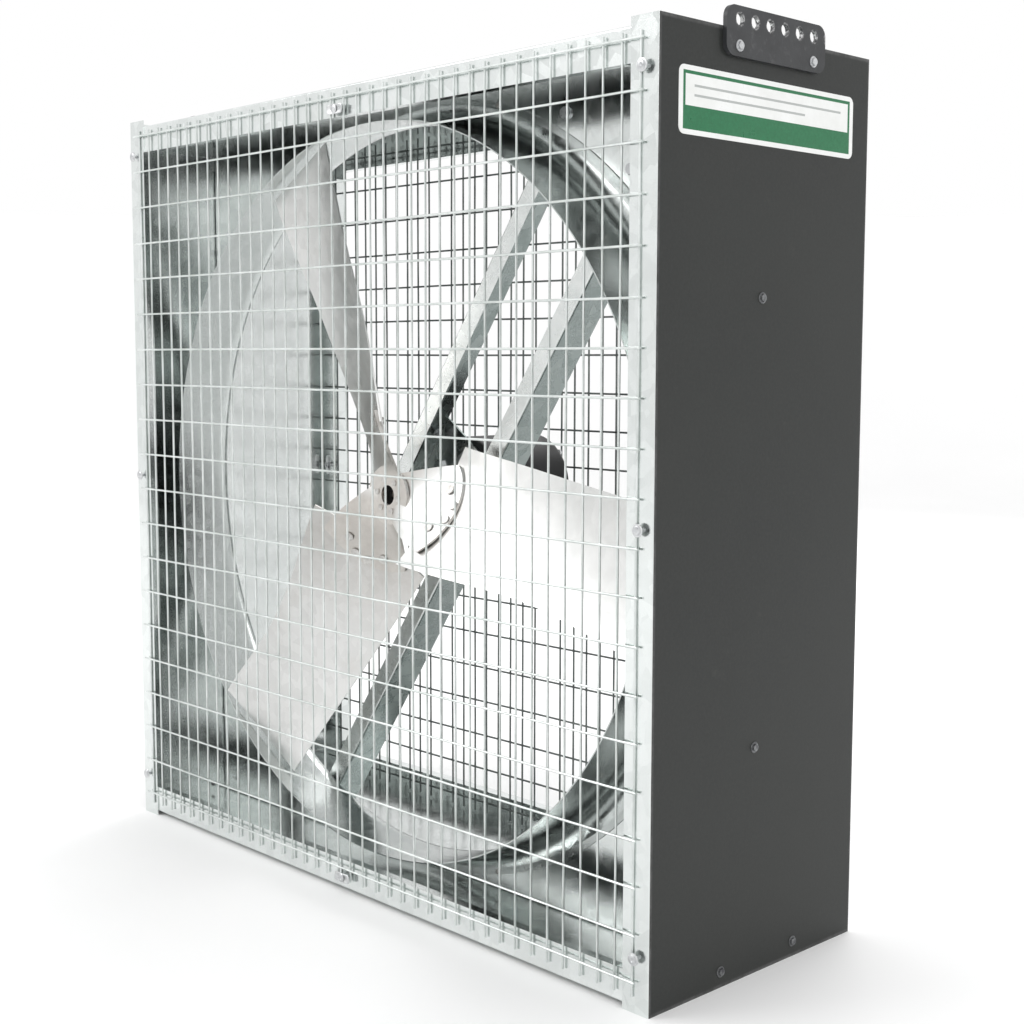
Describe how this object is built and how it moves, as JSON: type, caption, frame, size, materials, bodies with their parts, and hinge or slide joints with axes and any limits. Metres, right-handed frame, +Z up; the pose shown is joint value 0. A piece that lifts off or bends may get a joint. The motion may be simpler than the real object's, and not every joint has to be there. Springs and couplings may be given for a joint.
{
  "type": "box exhaust fan",
  "caption": "Square galvanised box exhaust fan with wire guards, a sheet-metal propeller on a direct-drive motor and hanging brackets.",
  "frame": {"origin": "on the floor plane, under the middle of the fan's bounding box", "axes": "+Z up, air leaves towards -Y through the front guard, +X to the right seen from the front"},
  "size_m": [1.0324, 0.3732, 1.044],
  "materials": {
    "side_paint": "satin charcoal outside, zinc inside and on the flanges",
    "housing_zinc": "galvanised",
    "orifice_zinc": "galvanised",
    "ring_zinc": "galvanised",
    "guard_wire": "galvanised wire",
    "clip_zinc": "galvanised",
    "screw_zinc": "zinc plated",
    "wall_screw": "dark",
    "strut_zinc": "galvanised",
    "motor_paint": "satin black",
    "bell_paint": "cast, satin black",
    "bearing_steel": "ground",
    "lamination_steel": "stacked sheet",
    "winding_copper": "varnished copper",
    "shaft_steel": "turned",
    "gland_plastic": "matte",
    "nameplate": "blank, satin",
    "blade_zinc": "galvanised",
    "spider_zinc": "galvanised",
    "rivet_zinc": "plated",
    "hub_iron": "black",
    "hub_screw": "black oxide",
    "hanger_paint": "satin black",
    "label_film": "white film with plain coloured bars"
  },
  "bodies": {
    "housing": {"side_panel_left": "side_paint", "side_panel_right": "side_paint", "top_panel": "housing_zinc", "bottom_panel": "housing_zinc", "orifice_panel": "orifice_zinc", "venturi_ring": "ring_zinc", "front_guard": "guard_wire", "rear_guard": "guard_wire", "front_guard_clips": "clip_zinc", "rear_guard_clips": "clip_zinc", "front_guard_screws": "screw_zinc", "rear_guard_bolts": "screw_zinc", "rear_guard_nuts": "screw_zinc", "wall_screws_left": "wall_screw", "wall_screws_right": "wall_screw", "hanger_screws_left": "screw_zinc", "hanger_screws_right": "screw_zinc", "ring_rivets": "screw_zinc", "strut_upper": "strut_zinc", "strut_lower": "strut_zinc", "strut_bolts": "screw_zinc", "strut_nuts": "screw_zinc", "motor_mount_plate": "strut_zinc", "mount_bolts_upper": "screw_zinc", "mount_bolts_lower": "screw_zinc", "mount_nuts": "screw_zinc", "bell_bolts": "screw_zinc", "motor_shell": "motor_paint", "motor_front_bell": "bell_paint", "motor_rear_bell": "bell_paint", "bearing_outer_races": "bearing_steel", "stator_core": "lamination_steel", "stator_windings": "winding_copper", "motor_tie_bolts": "screw_zinc", "conduit_box": "motor_paint", "conduit_cover": "motor_paint", "cover_screws": "screw_zinc", "cord_gland": "gland_plastic", "motor_nameplate": "nameplate", "hanging_bracket_left": "hanger_paint", "hanging_bracket_right": "hanger_paint", "side_label": "label_film"},
    "rotor": {"fan_shaft": "shaft_steel", "motor_rotor": "lamination_steel", "bearing_inner_races": "bearing_steel", "bearing_balls": "bearing_steel", "hub_barrel": "hub_iron", "hub_set_screw": "hub_screw", "hub_spider": "spider_zinc", "hub_rivets": "rivet_zinc", "blade_1": "blade_zinc", "blade_2": "blade_zinc", "blade_3": "blade_zinc", "blade_rivets": "rivet_zinc"}
  },
  "joints": [
    {"name": "rotor_spin", "type": "hinge", "parent": "housing", "child": "rotor", "pos_m": [0, 0, 0.51], "axis": [0, -1, 0], "continuous": true}
  ]
}
